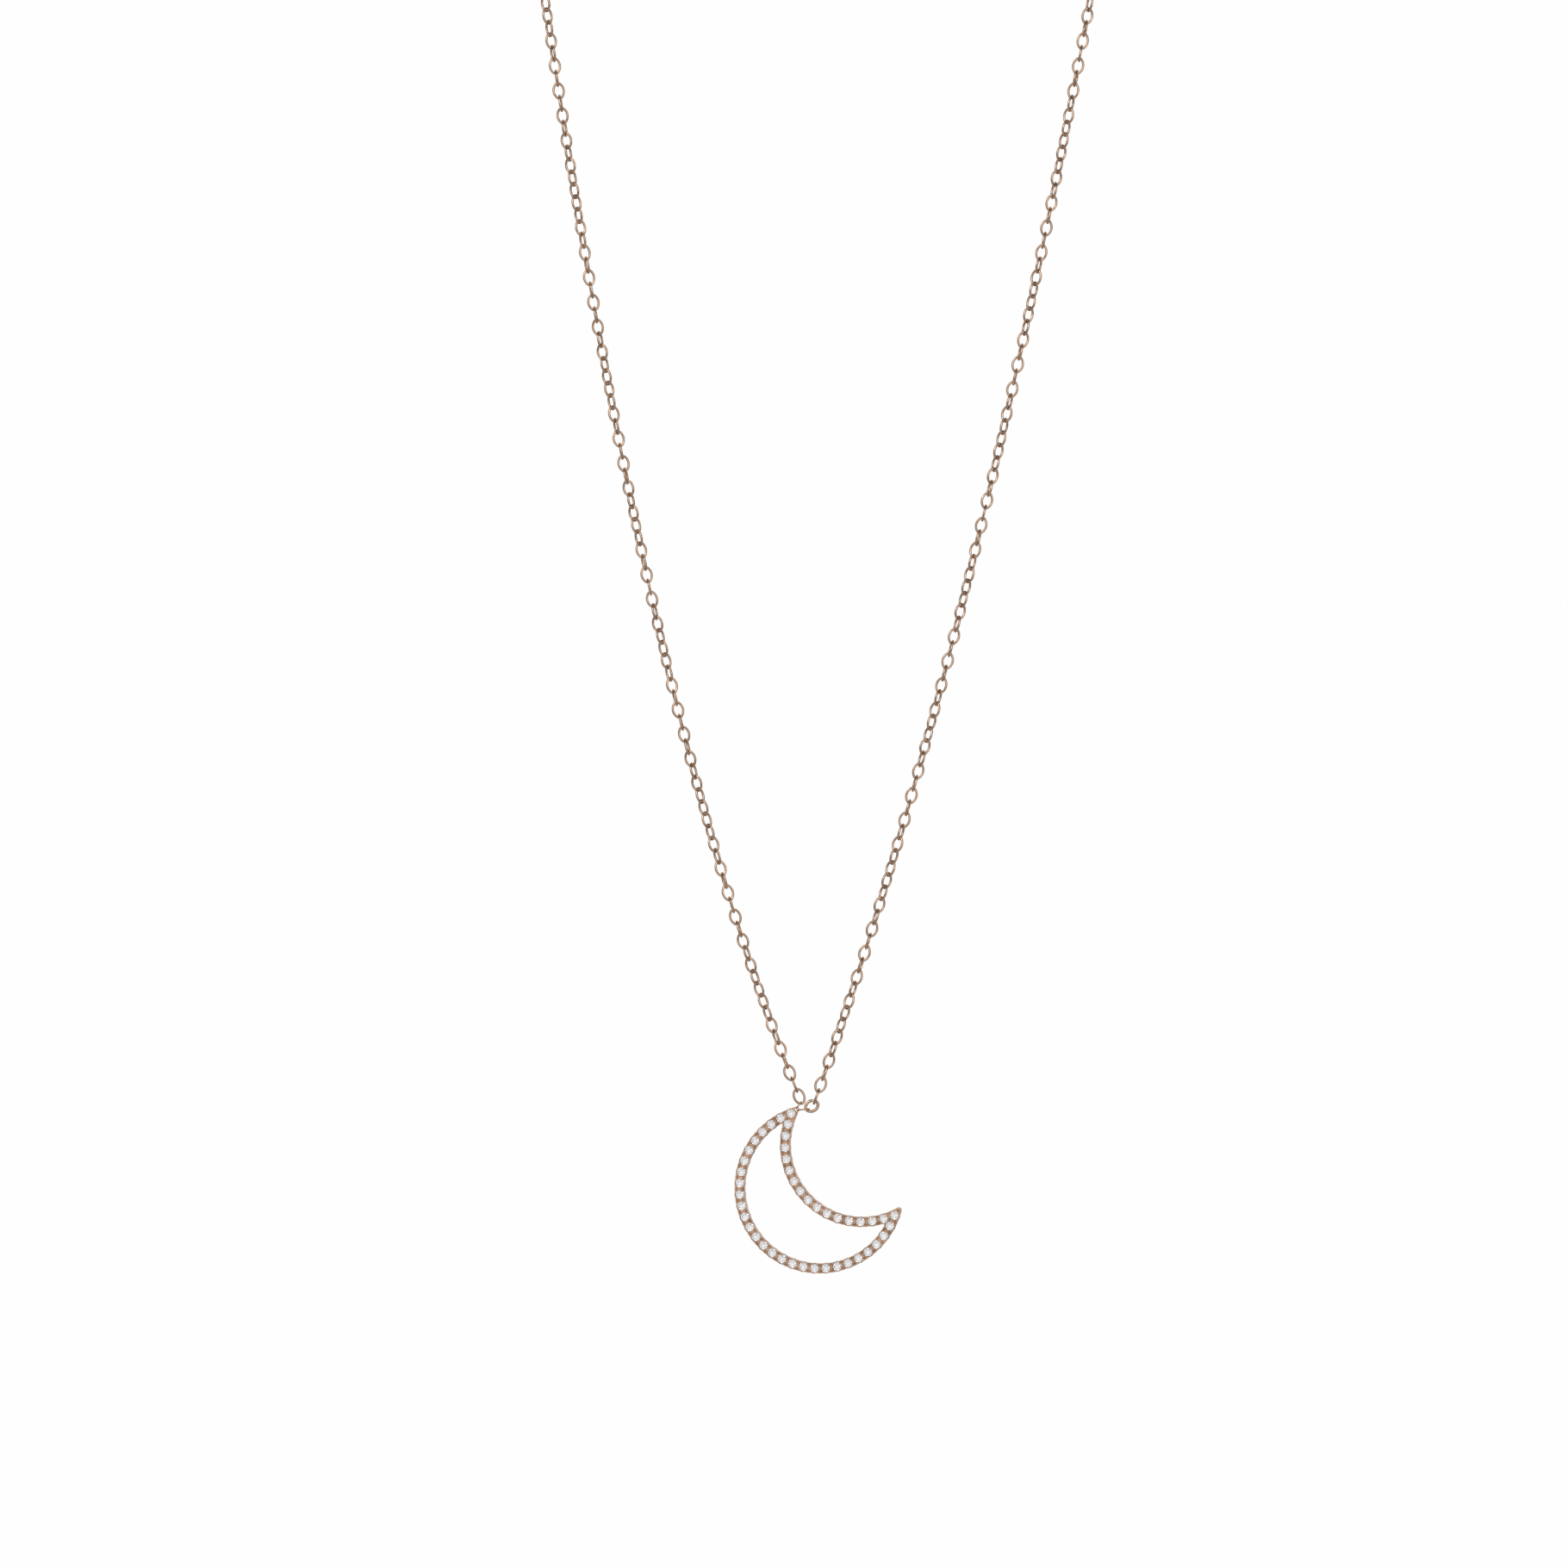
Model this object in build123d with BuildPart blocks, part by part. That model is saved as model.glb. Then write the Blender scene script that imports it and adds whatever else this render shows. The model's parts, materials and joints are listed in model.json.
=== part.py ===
"""A crescent-moon pendant necklace on a fine oval cable chain, hanging from a neck.

Millimetres, +Z up. The origin is the middle of the neck loop, level with the chain that lies
on the neck. The two front strands hang in one upright plane in front of it, on the -Y side,
and the chain goes back over the sides of the neck to the clasp at the nape, on the +Y side.
Left and right are as seen from the front: left is -X.
"""

import os
from math import acos, acosh, asinh, atan2, cos, degrees, hypot, radians, sin, sqrt

from build123d import *

# ---------------------------------------------------------------- driving dimensions

# One chain link, a closed oval of round wire.
LINK_WIRE = 0.26
LINK_LENGTH = 1.96
LINK_WIDTH = 1.38
LINK_END_RADIUS = 0.36  # of the wire's centre line round each end
PITCH = 1.395  # from one contact to the next along a strand
SLACK = LINK_LENGTH - LINK_WIRE - LINK_WIRE - PITCH  # play at each contact

# The front strands. Each hangs as a catenary: a is its horizontal pull over its weight per
# length, and the lift is the length of chain that weighs what the strand carries at its foot.
LEFT_A, LEFT_LIFT = 28.1, 68.3
RIGHT_A, RIGHT_LIFT = 46.9, 131.2
FEET_APART = 1.42
LEVELS = 6  # stretches of each strand that swing one below the other
LINKS_PER_NODE = 9
NODES_PER_LEVEL = 2
LINKS_PER_STRAND = LEVELS * NODES_PER_LEVEL * LINKS_PER_NODE

# Heights over the feet at which a strand's links lie square to the front. Between two of them
# the strand twists by a quarter turn.
LEFT_SQUARE = (3, 21, 43, 57, 71, 88, 112)
RIGHT_SQUARE = (2, 17, 34, 49, 65, 81, 96, 116)
TWIST_ABOVE = 18.0  # height of a quarter turn above the last of them

# The loop that lies on the neck.
SHOULDER_RISE = 12.0  # height of the bend from the strand to the side of the neck
NAPE_DEPTH = 37.0  # from the side of the neck to the nape
BACK_NODES = 4  # on each side

# The crescent, of two rows of stones on two circles.
OUTER_RADIUS = 8.83
INNER_RADIUS = 8.46
INNER_OFFSET = 6.68  # between the circles' centres
CRESCENT_AXIS = 45.6  # the way the crescent opens, from +X towards +Z
BAND_WIDTH = 1.07  # between two stones
COLLAR_RADIUS = 0.58  # of the metal round each stone
MOON_DEPTH = 1.3
STONE_DIAMETER = 0.98
TABLE_RADIUS, CROWN_HEIGHT, GIRDLE, PAVILION = 0.28, 0.16, 0.04, 0.40
CULET_RADIUS = 0.03
STONE_RISE = 0.02  # of the girdle over its seat's depth
OUTER_STONES, OUTER_SPAN = 29, 229.6
INNER_STONES, INNER_SPAN = 15, 122.4
TIP_RADIUS = 0.30  # round each tip
EYE_RADIUS = 0.19  # of the hole through the upper tip
EYE_THICKNESS = 0.24  # of the tip round the hole
EYE_BACK = 0.26  # from the hole's centre to the full depth of the band
EYE_BESIDE_FOOT, EYE_BELOW_FOOT = -0.54, 0.77  # from the left strand's foot
MOON_YAW = 6.0  # by which the crescent is turned to its left
CORNER_RADIUS = 0.15  # at the two corners of the open middle
SEAT_CLEARANCE = 0.02  # round each stone
SEAT_DEPTH = 0.16  # from the front of the band to the stone's girdle
AZURE_DIAMETER = 0.56  # of the hole behind each stone
BEAD_DIAMETER = 0.22
BEAD_RISE = 0.03  # from a bead's middle up to the front of the band

# The rings that join the strands to the crescent.
TIP_RING_WIRE = 0.15
JUMP_RING_WIRE = 0.34
JUMP_RING_LONG, JUMP_RING_SHORT = 0.71, 0.57  # half-lengths of its centre line
JUMP_RING_END_RADIUS = 0.45
JUMP_RING_TILT = 28.0
RING_PLAY = 0.02
EYE_PLAY = 0.02
JUMP_RING_PLAY = 0.10  # more, as the jump ring's end curves back towards the tip ring

# The lobster clasp. Lengths run along it from its tail, +X, to its hook, -X.
CLASP_CENTRE_X = 0.4
HOOK_WIRE = 0.80
HOOK_RADIUS = 1.55
HOOK_CENTRE = 1.90
HOUSING_THICK = 1.7
SLOT_WIDTH = 0.80
LEVER_THICK = 0.70
HOOK_START, HOOK_END = 95.0, -82.0  # angles round the hook's centre
HOOK_SINK = 0.32  # of the hook's root into the housing
HOUSING_TAIL, HOUSING_TAIL_RADIUS = -2.30, 0.85
HOUSING_NOSE, HOUSING_NOSE_RADIUS = -0.70, 1.30
HOUSING_EDGE_RADIUS = 0.30
SLOT_AT, SLOT_LONG, SLOT_HIGH = (-0.55, -0.90), 2.7, 2.6
PIVOT = (-0.90, -0.35)
PIVOT_BOSS_RADIUS = 0.50
RIVET_PLAY = 0.02
RIVET_DIAMETER = 0.50
TAIL_EYE_AT = -3.60
TAIL_EYE_RADIUS, TAIL_EYE_WIRE = 0.62, 0.38
CLASP_RING_RADIUS, CLASP_RING_WIRE = 0.90, 0.40
SPRING_AT = -0.15
SPRING_LOW, SPRING_HIGH = -0.20, 0.62
SPRING_WIRE, SPRING_RADIUS, SPRING_TURNS = 0.09, 0.22, 4
POCKET_RADIUS, POCKET_DEPTH, POCKET_MIDDLE = 0.33, 0.50, 0.45
# The lever's outline: its back down to the tip, the underside back to the thumb tab, and
# the heel behind the rivet.
LEVER_BACK = ((-1.05, 0.10), (-0.10, -0.35), (1.00, -0.98), (2.02, -1.17))
LEVER_UNDERSIDE = ((1.94, -1.62), (0.90, -1.56), (-0.10, -1.30), (-0.85, -1.42), (-1.35, -1.95))
LEVER_HEEL = ((-1.80, -1.70), (-1.55, -1.00), (-1.30, -0.50))
TAB_RADIUS = 0.28

# The extender that hangs at the nape.
CLOSING_RING_RADIUS, CLOSING_RING_WIRE = 1.45, 0.50
EXTENDER_RADIUS, EXTENDER_WIRE = 0.975, 0.35
EXTENDER_LINKS = 16
EXTENDER_PLAY = 0.03  # at each contact
DROP_LENGTH, DROP_DIAMETER = 4.2, 2.8
DROP_BULB_TURN = 120  # from the drop's lowest point up round its bulb
DROP_NECK_RADIUS = 0.14
DROP_SHOULDER = (0.28, -0.75)
DROP_LOOP_RADIUS, DROP_LOOP_WIRE = 0.62, 0.30
DROP_LOOP_SINK = 0.05  # of the loop's wire into the drop

FRONT = Vector(0, -1, 0)
BACK = Vector(0, 1, 0)
UP = Vector(0, 0, 1)

os.makedirs("parts", exist_ok=True)
written = []


def write(piece, name):
    piece.part.label = name
    export_step(piece.part, f"parts/{name}.step")
    written.append((name, piece.part.bounding_box()))


# ---------------------------------------------------------------- routes

def catenary_x(height, a, lift):
    """How far out from its foot a hanging strand is, at a height over the foot."""
    steep = hypot(a, lift)
    return a * (acosh((height + steep) / a) - asinh(lift / a))


def front_contacts():
    """Contacts of both front strands, level with each other, from the feet to the tops.

    The height of each step keeps the mean of the two strands' steps at the pitch.
    """
    left, right, height = [], [], 0.0
    for _ in range(LINKS_PER_STRAND + 1):
        left.append((-catenary_x(height, LEFT_A, LEFT_LIFT), height))
        right.append((FEET_APART + catenary_x(height, RIGHT_A, RIGHT_LIFT), height))
        out = (
            catenary_x(height + PITCH, LEFT_A, LEFT_LIFT) + left[-1][0],
            FEET_APART + catenary_x(height + PITCH, RIGHT_A, RIGHT_LIFT) - right[-1][0],
        )
        height += PITCH * sum(1 / hypot(1, way / PITCH) for way in out) / 2
    return left, right


def evenly(points, count):
    """Points that divide a fine polyline into count steps of equal length."""
    lengths = [0.0]
    for a, b in zip(points, points[1:]):
        lengths.append(lengths[-1] + (b - a).length)
    found, k = [], 0
    for i in range(count + 1):
        want = lengths[-1] * i / count
        while k < len(points) - 2 and lengths[k + 1] < want:
            k += 1
        share = (want - lengths[k]) / (lengths[k + 1] - lengths[k])
        found.append(points[k] + (points[k + 1] - points[k]) * share)
    return found


def neck_route(top, up, end):
    """From the top of a strand back over the side of the neck, then round to the nape."""
    steps = 400
    bend = SHOULDER_RISE / up.Z
    quarter = [radians(90 * i / steps) for i in range(steps + 1)]
    over = [top + up * (bend * sin(t)) + BACK * (bend * (1 - cos(t))) for t in quarter]
    side = over[-1]
    wide, deep = side.X - end.X, end.Y - side.Y
    level = [
        Vector(end.X + wide * cos(t), side.Y + deep * sin(t), side.Z) for t in quarter
    ]
    return over + level[1:]


def twist_at(height, square):
    """Degrees by which a strand has twisted at a height over its foot."""
    marks = [*square, square[-1] + TWIST_ABOVE * 4]
    turns = [90.0 * i for i in range(len(square))] + [90.0 * (len(square) + 3)]
    if height <= marks[0]:
        return 0.0
    for low, high, a, b in zip(marks, marks[1:], turns, turns[1:]):
        if height <= high:
            return a + (b - a) * (height - low) / (high - low)
    return turns[-1]


def link_plane(a, b, face, roll):
    """The plane of the link between two contacts: X along it, Z square to its oval.

    face is what a link of roll 0 faces. It is squared up to the link's own direction.
    """
    along = (b - a).normalized()
    square = (face - along * face.dot(along)).normalized()
    across = along.cross(square)
    normal = square * cos(radians(roll)) + across * sin(radians(roll))
    return Plane(origin=(a + b) / 2, x_dir=along, z_dir=normal)


LEFT_FRONT, RIGHT_FRONT = front_contacts()
MIDDLE_X = (LEFT_FRONT[-1][0] + RIGHT_FRONT[-1][0]) / 2
FOOT_Z = -(LEFT_FRONT[-1][1] + SHOULDER_RISE)
FRONT_Y = -SHOULDER_RISE


def on_front(x, height):
    """A point of the strands' upright plane, from the left foot's x and height."""
    return Vector(x - MIDDLE_X, FRONT_Y, FOOT_Z + height)


left_contacts = [on_front(x, z) for x, z in LEFT_FRONT]
right_contacts = [on_front(x, z) for x, z in RIGHT_FRONT]
left_foot, right_foot = left_contacts[0], right_contacts[0]
left_way = (left_contacts[1] - left_foot).normalized()
right_way = (right_contacts[1] - right_foot).normalized()
half_contact = (LINK_WIRE + SLACK) / 2  # from a contact to the wire on each side of it

# ---------------------------------------------------------------- wire rings


def oval_link(length, width, wire, end_radius):
    """A closed oval of wire, drawn with four arcs about the origin, long along X."""
    a, b = (length - wire) / 2, (width - wire) / 2
    side_radius = ((a - end_radius) ** 2 + b**2 - end_radius**2) / (2 * (b - end_radius))
    join = degrees(atan2(side_radius - b, a - end_radius))
    with BuildPart() as ring:
        with BuildLine() as oval:
            CenterArc((a - end_radius, 0), end_radius, -join, 2 * join)
            CenterArc((0, b - side_radius), side_radius, join, 180 - 2 * join)
            CenterArc((end_radius - a, 0), end_radius, 180 - join, 2 * join)
            CenterArc((0, side_radius - b), side_radius, 180 + join, 180 - 2 * join)
        with BuildSketch(Plane(origin=oval.line @ 0, z_dir=oval.line % 0)):
            Circle(wire / 2)
        sweep()
    return ring.part


link = oval_link(LINK_LENGTH, LINK_WIDTH, LINK_WIRE, LINK_END_RADIUS)


def write_links(planes, name):
    with BuildPart() as run:
        with Locations(*[plane.location for plane in planes]):
            add(link)
    write(run, name)


# ---------------------------------------------------------------- front strands


def front_planes(contacts, square, first_roll):
    planes = []
    for i, (a, b) in enumerate(zip(contacts, contacts[1:])):
        height = (a.Z + b.Z) / 2 - FOOT_Z
        roll = first_roll + 90 * i + twist_at(height, square)
        planes.append(link_plane(a, b, FRONT, roll))
    return planes


left_planes = front_planes(left_contacts, LEFT_SQUARE, 0)
right_planes = front_planes(right_contacts, RIGHT_SQUARE, 90)
for side, planes in (("left", left_planes), ("right", right_planes)):
    from_neck = planes[::-1]
    for n in range(LEVELS * NODES_PER_LEVEL):
        run = from_neck[n * LINKS_PER_NODE : (n + 1) * LINKS_PER_NODE]
        write_links(run, f"{side}_strand_{n + 1:02d}")

# ---------------------------------------------------------------- clasp places

# The clasp lies flat on the nape, along X. Its own plane has X from its tail to its hook,
# Y up and Z out of the nape.
left_side_y = FRONT_Y + SHOULDER_RISE
NAPE_Y = left_side_y + NAPE_DEPTH
clasp_plane = Plane(origin=(CLASP_CENTRE_X, NAPE_Y, 0), x_dir=(-1, 0, 0), z_dir=(0, 1, 0))


def along_clasp(u):
    return Vector(CLASP_CENTRE_X - u, NAPE_Y, 0)


hook_inner = HOOK_CENTRE + HOOK_RADIUS - HOOK_WIRE / 2
closing_ring_at = hook_inner - CLOSING_RING_WIRE / 2 - RING_PLAY + CLOSING_RING_RADIUS
left_wire = closing_ring_at + CLOSING_RING_RADIUS
left_wire -= CLOSING_RING_WIRE / 2 + LINK_WIRE / 2 + RING_PLAY
left_end = along_clasp(left_wire + half_contact)

tail_hole = TAIL_EYE_AT - TAIL_EYE_RADIUS + TAIL_EYE_WIRE / 2
clasp_ring_at = tail_hole + CLASP_RING_WIRE / 2 + RING_PLAY - CLASP_RING_RADIUS
right_wire = clasp_ring_at - CLASP_RING_RADIUS
right_wire += CLASP_RING_WIRE / 2 + LINK_WIRE / 2 + RING_PLAY
right_end = along_clasp(right_wire - half_contact)

# ---------------------------------------------------------------- loop round the neck


def write_neck_side(side, contacts, roll, end):
    """The links from a strand's top to the clasp. The strand's top link has this roll.

    Each link stands a quarter turn from the last, and the run twists on by about as much as
    the strand does at its top, so that the last link's oval stands upright at the nape.
    """
    top = contacts[-1]
    route = neck_route(top, (top - contacts[-2]).normalized(), end)
    length = sum((b - a).length for a, b in zip(route, route[1:]))
    count = round(length / PITCH)
    stops = evenly(route, count)
    first = roll + 90
    turn = 90 * (count - 1) + 90 * length / TWIST_ABOVE
    last = round((first + turn - 90) / 180) * 180 + 90
    face = FRONT
    planes = []
    for i, (a, b) in enumerate(zip(stops, stops[1:])):
        along = (b - a).normalized()
        face = (face - along * face.dot(along)).normalized()
        planes.append(link_plane(a, b, face, first + (last - first) * i / (count - 1)))
    marks = [round(count * n / BACK_NODES) for n in range(BACK_NODES + 1)]
    for n, (low, high) in enumerate(zip(marks, marks[1:])):
        write_links(planes[low:high], f"{side}_neck_chain_{n + 1}")
    return count, length


left_top_roll = 90 * (LINKS_PER_STRAND - 1) + twist_at(LEFT_FRONT[-1][1], LEFT_SQUARE)
right_top_roll = 90 * LINKS_PER_STRAND + twist_at(RIGHT_FRONT[-1][1], RIGHT_SQUARE)
left_count, left_length = write_neck_side("left", left_contacts, left_top_roll, left_end)
right_count, right_length = write_neck_side("right", right_contacts, right_top_roll, right_end)

# ---------------------------------------------------------------- crescent

half_band = BAND_WIDTH / 2
half_depth = MOON_DEPTH / 2


def on_circle(centre, radius, angle):
    return (
        centre[0] + radius * cos(radians(angle)),
        centre[1] + radius * sin(radians(angle)),
    )


inner_at = on_circle((0, 0), INNER_OFFSET, CRESCENT_AXIS)
# The middle of the upper tip's round end lies a tip radius inside both edges of the crescent.
to_outer = OUTER_RADIUS + half_band - TIP_RADIUS
to_inner = INNER_RADIUS - half_band + TIP_RADIUS
tip_turn = degrees(
    acos((INNER_OFFSET**2 + to_outer**2 - to_inner**2) / (2 * INNER_OFFSET * to_outer))
)
eye_at = on_circle((0, 0), to_outer, CRESCENT_AXIS + tip_turn)
eye = left_foot + Vector(EYE_BESIDE_FOOT, 0, -EYE_BELOW_FOOT)
# Seen from the front: X to the right, Y up, and Z towards the viewer.
moon_right = Vector(cos(radians(MOON_YAW)), -sin(radians(MOON_YAW)), 0)
moon_front = moon_right.cross(UP)
moon_centre = eye - moon_right * eye_at[0] - UP * eye_at[1]
moon_plane = Plane(origin=moon_centre, x_dir=moon_right, z_dir=moon_front)


def spread(middle, span, count):
    return [middle + span * (i / (count - 1) - 0.5) for i in range(count)]


outer_angles = spread(CRESCENT_AXIS + 180, OUTER_SPAN, OUTER_STONES)
inner_angles = spread(CRESCENT_AXIS + 180, INNER_SPAN, INNER_STONES)
outer_seats = [on_circle((0, 0), OUTER_RADIUS, angle) for angle in outer_angles]
inner_seats = [on_circle(inner_at, INNER_RADIUS, angle) for angle in inner_angles]

# Raised beads of metal hold each stone: one near each edge between two neighbours.
bead_places = []
for centre, radius, angles in (
    ((0, 0), OUTER_RADIUS, outer_angles),
    (inner_at, INNER_RADIUS, inner_angles),
):
    step = angles[1] - angles[0]
    for angle in angles[:-1]:
        for edge in (-1, 1):
            reach = radius + edge * (half_band - BEAD_DIAMETER / 2)
            bead_places.append(on_circle(centre, reach, angle + step / 2))

stone_radius = STONE_DIAMETER / 2
seat_radius = stone_radius + SEAT_CLEARANCE
shelf = half_depth - SEAT_DEPTH - 0.05  # just under the girdle; the seat's cone starts here
cone_foot = shelf - 0.37

with BuildPart() as seat_cutter:
    with BuildSketch(Plane.XZ):
        with BuildLine():
            Polyline(
                (0, MOON_DEPTH),
                (seat_radius, MOON_DEPTH),
                (seat_radius, shelf),
                (AZURE_DIAMETER / 2, cone_foot),
                (AZURE_DIAMETER / 2, -MOON_DEPTH),
                (0, -MOON_DEPTH),
                close=True,
            )
        make_face()
    revolve(axis=Axis.Z)

# Which way the upper tip points: half way between the two edges that meet there.
outer_way = CRESCENT_AXIS + tip_turn - 90
inner_way = degrees(atan2(eye_at[1] - inner_at[1], eye_at[0] - inner_at[0])) - 90
tip_way = (outer_way + inner_way) / 2

with BuildPart() as moon_frame:
    with BuildSketch(moon_plane) as outline:
        Circle(OUTER_RADIUS + half_band)
        with Locations(inner_at):
            Circle(INNER_RADIUS - half_band, mode=Mode.SUBTRACT)
        fillet(outline.vertices(), TIP_RADIUS)
        # The open middle, itself a smaller crescent.
        with BuildSketch(Plane.XY, mode=Mode.SUBTRACT) as middle:
            Circle(OUTER_RADIUS - half_band)
            with Locations(inner_at):
                Circle(INNER_RADIUS + half_band, mode=Mode.SUBTRACT)
            fillet(middle.vertices(), CORNER_RADIUS)
        with Locations(*outer_seats, *inner_seats):
            Circle(COLLAR_RADIUS)
    extrude(amount=half_depth, both=True)
    # The upper tip is thinned from both faces, and holed for its rings.
    with Locations(moon_plane.location * Location((*eye_at, 0), (0, 0, tip_way))):
        for face in (-1, 1):
            with Locations((-EYE_BACK, 0, face * (EYE_THICKNESS + MOON_DEPTH) / 2)):
                Box(
                    BAND_WIDTH * 2,
                    BAND_WIDTH * 2,
                    MOON_DEPTH,
                    align=(Align.MIN, Align.CENTER, Align.CENTER),
                    mode=Mode.SUBTRACT,
                )
        Cylinder(EYE_RADIUS, MOON_DEPTH, mode=Mode.SUBTRACT)
    with Locations(*[moon_plane.location * Location((x, y, 0)) for x, y in outer_seats]):
        add(seat_cutter.part, mode=Mode.SUBTRACT)
    with Locations(*[moon_plane.location * Location((x, y, 0)) for x, y in inner_seats]):
        add(seat_cutter.part, mode=Mode.SUBTRACT)
    bead_level = half_depth - BEAD_RISE
    with Locations(
        *[moon_plane.location * Location((x, y, bead_level)) for x, y in bead_places]
    ):
        Sphere(BEAD_DIAMETER / 2)
write(moon_frame, "moon_frame")

# A round brilliant: crown, girdle and pavilion.
with BuildPart() as stone:
    with BuildSketch(Plane.XZ):
        with BuildLine():
            Polyline(
                (0, CROWN_HEIGHT + GIRDLE),
                (TABLE_RADIUS, CROWN_HEIGHT + GIRDLE),
                (stone_radius, GIRDLE),
                (stone_radius, 0),
                (CULET_RADIUS, -PAVILION),
                (0, -PAVILION),
                close=True,
            )
        make_face()
    revolve(axis=Axis.Z)

stone_level = half_depth - SEAT_DEPTH + STONE_RISE
for name, seats in (("outer_arc_stones", outer_seats), ("inner_arc_stones", inner_seats)):
    with BuildPart() as stones:
        with Locations(
            *[moon_plane.location * Location((x, y, stone_level)) for x, y in seats]
        ):
            add(stone.part)
    write(stones, name)

# ---------------------------------------------------------------- rings at the tip


def ring_between(near, far):
    """A round ring of wire that passes through two points and stands front to back."""
    way = (far - near).normalized()
    radius = (far - near).length / 2
    with BuildPart() as ring:
        with Locations(Plane(origin=(near + far) / 2, x_dir=way, z_dir=BACK.cross(way))):
            Torus(radius, TIP_RING_WIRE / 2)
    return ring, radius


left_hold = left_foot - left_way * half_contact
left_reach = left_hold + left_way * (LINK_WIRE / 2 + TIP_RING_WIRE / 2 + RING_PLAY)

# The jump ring hangs on the right strand's last link where its oval is square to the pull.
long_way = Vector(cos(radians(JUMP_RING_TILT)), 0, sin(radians(JUMP_RING_TILT)))
short_way = Vector(-sin(radians(JUMP_RING_TILT)), 0, cos(radians(JUMP_RING_TILT)))
right_hold = right_foot - right_way * half_contact
hang_point = right_hold + right_way * (LINK_WIRE / 2 + JUMP_RING_WIRE / 2 + RING_PLAY)
steep = atan2(
    right_way.dot(short_way) * JUMP_RING_SHORT, right_way.dot(long_way) * JUMP_RING_LONG
)
jump_centre = hang_point - long_way * (JUMP_RING_LONG * cos(steep))
jump_centre -= short_way * (JUMP_RING_SHORT * sin(steep))
jump_ring_oval = oval_link(
    2 * JUMP_RING_LONG + JUMP_RING_WIRE,
    2 * JUMP_RING_SHORT + JUMP_RING_WIRE,
    JUMP_RING_WIRE,
    JUMP_RING_END_RADIUS,
)
with BuildPart() as right_jump_ring:
    with Locations(Plane(origin=jump_centre, x_dir=long_way, z_dir=FRONT)):
        add(jump_ring_oval)
write(right_jump_ring, "right_jump_ring")

jump_end = jump_centre - long_way * JUMP_RING_LONG
# The jump ring's wire crosses the tip ring's plane aslant, so it takes more room there.
jump_way = (jump_end - eye).normalized()
right_reach = jump_end + jump_way * (
    JUMP_RING_WIRE / 2 / abs(jump_way.dot(long_way)) + TIP_RING_WIRE / 2 + JUMP_RING_PLAY
)
# Both rings pass through the hole side by side.
between = ((left_reach - eye).normalized() + (right_reach - eye).normalized()).normalized()
aside = between.cross(BACK) * (EYE_RADIUS - TIP_RING_WIRE / 2 - EYE_PLAY)
left_tip_ring, left_ring_radius = ring_between(eye + aside, left_reach)
write(left_tip_ring, "left_tip_ring")
right_tip_ring, right_ring_radius = ring_between(eye - aside, right_reach)
write(right_tip_ring, "right_tip_ring")

# ---------------------------------------------------------------- lobster clasp

hook_root = (HOUSING_NOSE, HOUSING_NOSE_RADIUS - HOOK_SINK)

with BuildPart() as clasp_body:
    # The housing: two cheeks with a slot between them for the lever.
    with BuildSketch(clasp_plane):
        with Locations((HOUSING_TAIL, 0)):
            Circle(HOUSING_TAIL_RADIUS)
        with Locations((HOUSING_NOSE, 0)):
            Circle(HOUSING_NOSE_RADIUS)
        make_hull()
    extrude(amount=HOUSING_THICK / 2, both=True)
    fillet(clasp_body.edges().group_by(Axis.Y)[0], HOUSING_EDGE_RADIUS)
    fillet(clasp_body.edges().group_by(Axis.Y)[-1], HOUSING_EDGE_RADIUS)
    # The hook: round wire from the housing's upper side, round the end and back.
    with BuildLine(clasp_plane) as hook_path:
        bow = CenterArc((HOOK_CENTRE, 0), HOOK_RADIUS, HOOK_START, HOOK_END - HOOK_START)
        Line(hook_root, bow @ 0)
    with BuildSketch(Plane(origin=bow @ 1, z_dir=bow % 1)):
        Circle(HOOK_WIRE / 2)
    sweep(transition=Transition.ROUND)
    # The eye at the tail.
    with Locations(clasp_plane.location * Location((TAIL_EYE_AT, 0, 0))):
        Torus(TAIL_EYE_RADIUS, TAIL_EYE_WIRE / 2)
    # The slot, open at the lower side and towards the mouth.
    with BuildSketch(clasp_plane):
        with Locations(SLOT_AT):
            Rectangle(SLOT_LONG, SLOT_HIGH)
    extrude(amount=SLOT_WIDTH / 2, both=True, mode=Mode.SUBTRACT)
    with BuildSketch(clasp_plane):
        with Locations(PIVOT):
            Circle(RIVET_DIAMETER / 2)
    extrude(amount=HOUSING_THICK, both=True, mode=Mode.SUBTRACT)
    # The pocket for the spring, above the lever.
    with Locations(clasp_plane.location * Location((SPRING_AT, POCKET_MIDDLE, 0), (90, 0, 0))):
        Cylinder(POCKET_RADIUS, POCKET_DEPTH, mode=Mode.SUBTRACT)
write(clasp_body, "clasp_body")

with BuildPart() as clasp_lever:
    with BuildSketch(clasp_plane):
        with Locations(PIVOT):
            Circle(PIVOT_BOSS_RADIUS)
        with BuildLine():
            Spline(*LEVER_BACK)
            Line(LEVER_BACK[-1], LEVER_UNDERSIDE[0])
            Spline(*LEVER_UNDERSIDE)
            RadiusArc(LEVER_UNDERSIDE[-1], LEVER_HEEL[0], TAB_RADIUS)
            Spline(*LEVER_HEEL)
            Line(LEVER_HEEL[-1], LEVER_BACK[0])
        make_face()
    extrude(amount=LEVER_THICK / 2, both=True)
    with BuildSketch(clasp_plane):
        with Locations(PIVOT):
            Circle(RIVET_DIAMETER / 2 + RIVET_PLAY)
    extrude(amount=LEVER_THICK, both=True, mode=Mode.SUBTRACT)
write(clasp_lever, "clasp_lever")

with BuildPart() as clasp_rivet:
    with BuildSketch(clasp_plane):
        with Locations(PIVOT):
            Circle(RIVET_DIAMETER / 2)
    extrude(amount=HOUSING_THICK / 2, both=True)
write(clasp_rivet, "clasp_rivet")

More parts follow.
